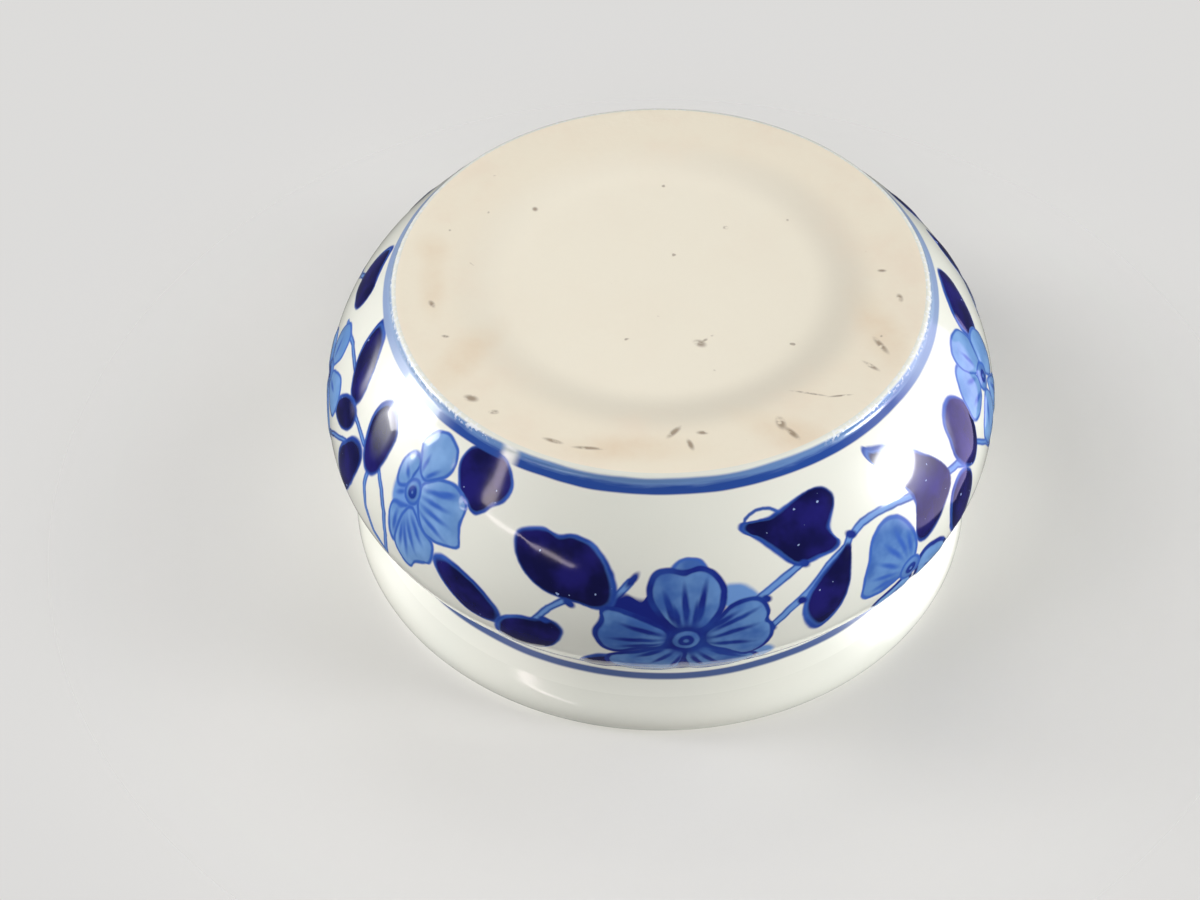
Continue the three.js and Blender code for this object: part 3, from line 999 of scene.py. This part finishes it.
def finish_bowl(mesh, face_azimuth, face_arc):
    """Gives each zone of the bowl its finish."""
    painted = [painted_material(sector) for sector in range(SECTORS)]
    for material in (*painted, white_glaze_material(), collar_material(), biscuit_material()):
        mesh.materials.append(material)
    white, collar, biscuit = SECTORS, SECTORS + 1, SECTORS + 2
    sector = np.floor((face_azimuth + 180) / (360 / SECTORS)).astype(int) % SECTORS
    zone = np.where(face_arc < 0, biscuit, white)
    zone = np.where((face_arc > 0) & (face_arc < CREASE_ARC), sector, zone)
    zone = np.where((face_arc > CREASE_ARC) & (face_arc < CREASE_ARC + COLLAR_LINE_ZONE), collar, zone)
    mesh.polygons.foreach_set("material_index", zone.astype(np.int32))
    mesh.polygons.foreach_set("use_smooth", np.ones(len(zone), bool))
    mesh.update()


mesh = make_bowl()
raise_pattern(mesh)
azimuths, arcs = lay_out(mesh)
finish_bowl(mesh, azimuths, arcs)
bowl = bpy.data.objects.new("catchall_bowl", mesh)
bpy.context.scene.collection.objects.link(bowl)
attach(bowl, "root")
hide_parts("bowl")

# Camera: worked out with the bowl mouth down, then turned over with it about the Y axis
LENS = 66
SENSOR = 36
CAMERA_DISTANCE = 348.3
CAMERA_ELEVATION = math.radians(42.9)
CAMERA_PAN = math.radians(1.542)
CAMERA_TILT = math.radians(-4.507)
CAMERA_ROLL = math.radians(0.197)


def make_camera():
    """The camera, aimed past the bowl's middle as the photographer held it."""
    camera = bpy.data.objects.new("camera", bpy.data.cameras.new("camera"))
    camera.data.lens = LENS
    camera.data.sensor_width = SENSOR
    camera.data.clip_start = 0.01
    camera.data.clip_end = 10
    cosine, sine = math.cos(CAMERA_ELEVATION), math.sin(CAMERA_ELEVATION)
    towards = Matrix(((1, 0, 0), (0, sine, -cosine), (0, cosine, sine))).to_4x4()
    aim = Matrix.Rotation(CAMERA_PAN, 4, "Y") @ Matrix.Rotation(CAMERA_TILT, 4, "X")
    aim = aim @ Matrix.Rotation(CAMERA_ROLL, 4, "Z")
    place = Matrix.Translation((0, -CAMERA_DISTANCE * cosine * MM, CAMERA_DISTANCE * sine * MM))
    camera.matrix_world = Matrix.Rotation(math.pi, 4, "Y") @ place @ towards @ aim
    bpy.context.scene.collection.objects.link(camera)
    bpy.context.scene.camera = camera


def stage_material(name, colour, fade_start, fade_end):
    """A pale floor that shows only its front and fades out towards its edge."""
    nodes = Nodes(name)
    place = nodes.add("TexCoord", output=3)
    across = nodes.vector("MULTIPLY", place, (1, 1, 0))
    fade = nodes.between(nodes.length(across), fade_start, fade_end)
    behind = nodes.add("NewGeometry", output=6)
    hidden = nodes.math("MAXIMUM", fade, behind)
    diffuse = nodes.add("BsdfDiffuse", colour)
    clear = nodes.add("BsdfTransparent")
    mixed = nodes.add("MixShader", hidden, diffuse, clear)
    output = nodes.tree.nodes.new("ShaderNodeOutputMaterial")
    nodes.tree.links.new(mixed, output.inputs[0])
    return nodes.material


def make_floor(name, height, facing, inside, size, slope, fade_start, fade_end):
    """A round floor from under the bowl outwards, facing up (1) or down (-1), sloping down in degrees."""
    fall = (size - inside) * math.tan(math.radians(slope))
    bm = bmesh.new()
    bmesh.ops.create_cone(bm, segments=96, radius1=size, radius2=inside, depth=fall)
    if facing < 0:
        bmesh.ops.reverse_faces(bm, faces=bm.faces)
    bmesh.ops.translate(bm, verts=bm.verts, vec=(0, 0, height - fall / 2))
    floor_mesh = bpy.data.meshes.new(name)
    bm.to_mesh(floor_mesh)
    bm.free()
    floor_mesh.materials.append(stage_material(name, FLOOR_PALE, fade_start, fade_end))
    floor = bpy.data.objects.new(name, floor_mesh)
    bpy.context.scene.collection.objects.link(floor)
    floor.visible_diffuse = False
    floor.visible_glossy = False
    floor.visible_transmission = False
    floor.visible_volume_scatter = False
    floor.visible_shadow = False


def towards_bowl(azimuth, elevation):
    """The turn that points a light at the bowl from a direction."""
    turn = Matrix.Rotation(math.radians(azimuth), 4, "Z")
    return turn @ Matrix.Rotation(math.radians(90 - elevation), 4, "X")


def soften(data):
    """Makes a round light fade from its middle out to its edge."""
    data.use_nodes = True
    tree = data.node_tree
    emission = tree.nodes["Emission"]
    spot = tree.nodes.new("ShaderNodeNewGeometry").outputs["Parametric"]
    off = tree.nodes.new("ShaderNodeVectorMath")
    off.operation = "DISTANCE"
    off.inputs[1].default_value = (0.5, 0.5, 0)
    tree.links.new(spot, off.inputs[0])
    fade = tree.nodes.new("ShaderNodeMapRange")
    fade.inputs[1].default_value = 0.5
    fade.inputs[2].default_value = 0
    tree.links.new(off.outputs["Value"], fade.inputs[0])
    steep = tree.nodes.new("ShaderNodeMath")
    steep.operation = "POWER"
    steep.inputs[1].default_value = 3
    tree.links.new(fade.outputs[0], steep.inputs[0])
    tree.links.new(steep.outputs[0], emission.inputs["Strength"])


def make_light(name, azimuth, elevation, distance, size, power, glossy=True, soft=False):
    """A round light aimed at the bowl; azimuth 0 is towards -Y and 90 towards +X."""
    data = bpy.data.lights.new(name, "AREA")
    data.shape = "DISK"
    data.size = size
    data.energy = power
    if soft:
        soften(data)
    light = bpy.data.objects.new(name, data)
    light.matrix_world = towards_bowl(azimuth, elevation) @ Matrix.Translation((0, 0, distance))
    light.visible_camera = False
    light.visible_glossy = glossy
    bpy.context.scene.collection.objects.link(light)
    return light


def make_strip(name, start, end, width, power):
    """A straight narrow light between two directions, each an azimuth and an elevation."""
    first, last = [towards_bowl(*way).to_3x3() @ Vector((0, 0, 0.6)) for way in (start, end)]
    data = bpy.data.lights.new(name, "AREA")
    data.shape = "RECTANGLE"
    data.size = (last - first).length
    data.size_y = width
    data.energy = power
    data.color = STREAK_TINT
    along = (last - first).normalized()
    middle = (first + last) / 2
    back = (middle - along * middle.dot(along)).normalized()
    axes = Matrix((along, back.cross(along), back)).transposed().to_4x4()
    light = bpy.data.objects.new(name, data)
    light.matrix_world = Matrix.Translation(middle) @ axes
    light.visible_camera = False
    bpy.context.scene.collection.objects.link(light)


def make_world():
    """Pale surroundings, dimmer as a light and in reflections than they look."""
    world = bpy.data.worlds.new("studio")
    world.use_nodes = True
    tree = world.node_tree
    background = tree.nodes["Background"]
    background.inputs[0].default_value = WORLD_COLOUR
    path = tree.nodes.new("ShaderNodeLightPath")
    seen = tree.nodes.new("ShaderNodeMath")
    seen.operation = "MULTIPLY_ADD"
    tree.links.new(path.outputs["Is Camera Ray"], seen.inputs[0])
    seen.inputs[1].default_value = WORLD_SEEN - WORLD_LIGHT
    seen.inputs[2].default_value = WORLD_LIGHT
    tree.links.new(seen.outputs[0], background.inputs[1])
    bpy.context.scene.world = world


# The pale surroundings: colour, and strength as seen by the camera and as a light
WORLD_COLOUR = (1, 0.99, 0.975, 1)
WORLD_SEEN = 0.72
WORLD_LIGHT = 0.08

# Tints of the window's reflections
STREAK_TINT = (1, 0.86, 0.88)
HAZE_TINT = (0.72, 0.6, 1)

make_camera()
make_world()
make_floor("floor_under_foot", 0.0, 1, 0.04, 1.0, 0.0, 0.16, 0.58)
make_floor("floor_under_rim", HEIGHT * MM, -1, 0.05, 0.14, 2.5, 0.062, 0.13)
make_light("front", 0, -25, 0.8, 0.5, 2.0, glossy=False)
make_light("round_highlight", -77.5, -7.6, 0.6, 0.19, 1.9)
make_light("round_glow", -80, -8, 0.7, 0.8, 20, soft=True)
haze = make_light("right_haze", -99, 7, 0.7, 0.66, 2.3)
haze.data.color = HAZE_TINT
haze.visible_diffuse = False
make_light("left_highlight", 94, -16, 0.6, 0.19, 0.9)
make_light("left_glow", 98, -10, 0.7, 0.8, 20, soft=True)
make_light("back", 180, -45, 0.8, 0.5, 1.05, glossy=False)
make_light("front_left", 70, -45, 0.8, 0.5, 1.85, glossy=False)
make_light("back_right", -110, -25, 0.8, 0.5, 1.65, glossy=False)
make_light("back_left", 120, -30, 0.8, 0.5, 0.6, glossy=False)
make_light("above", 0, 90, 3, 0.9, 80, glossy=False)
make_strip("upright_streak", (58.5, -34), (54.5, -15), 0.035, 0.16)
make_strip("level_streak", (54, -12.5), (24, -6), 0.02, 0.14)
bpy.context.scene.view_settings.view_transform = "Standard"
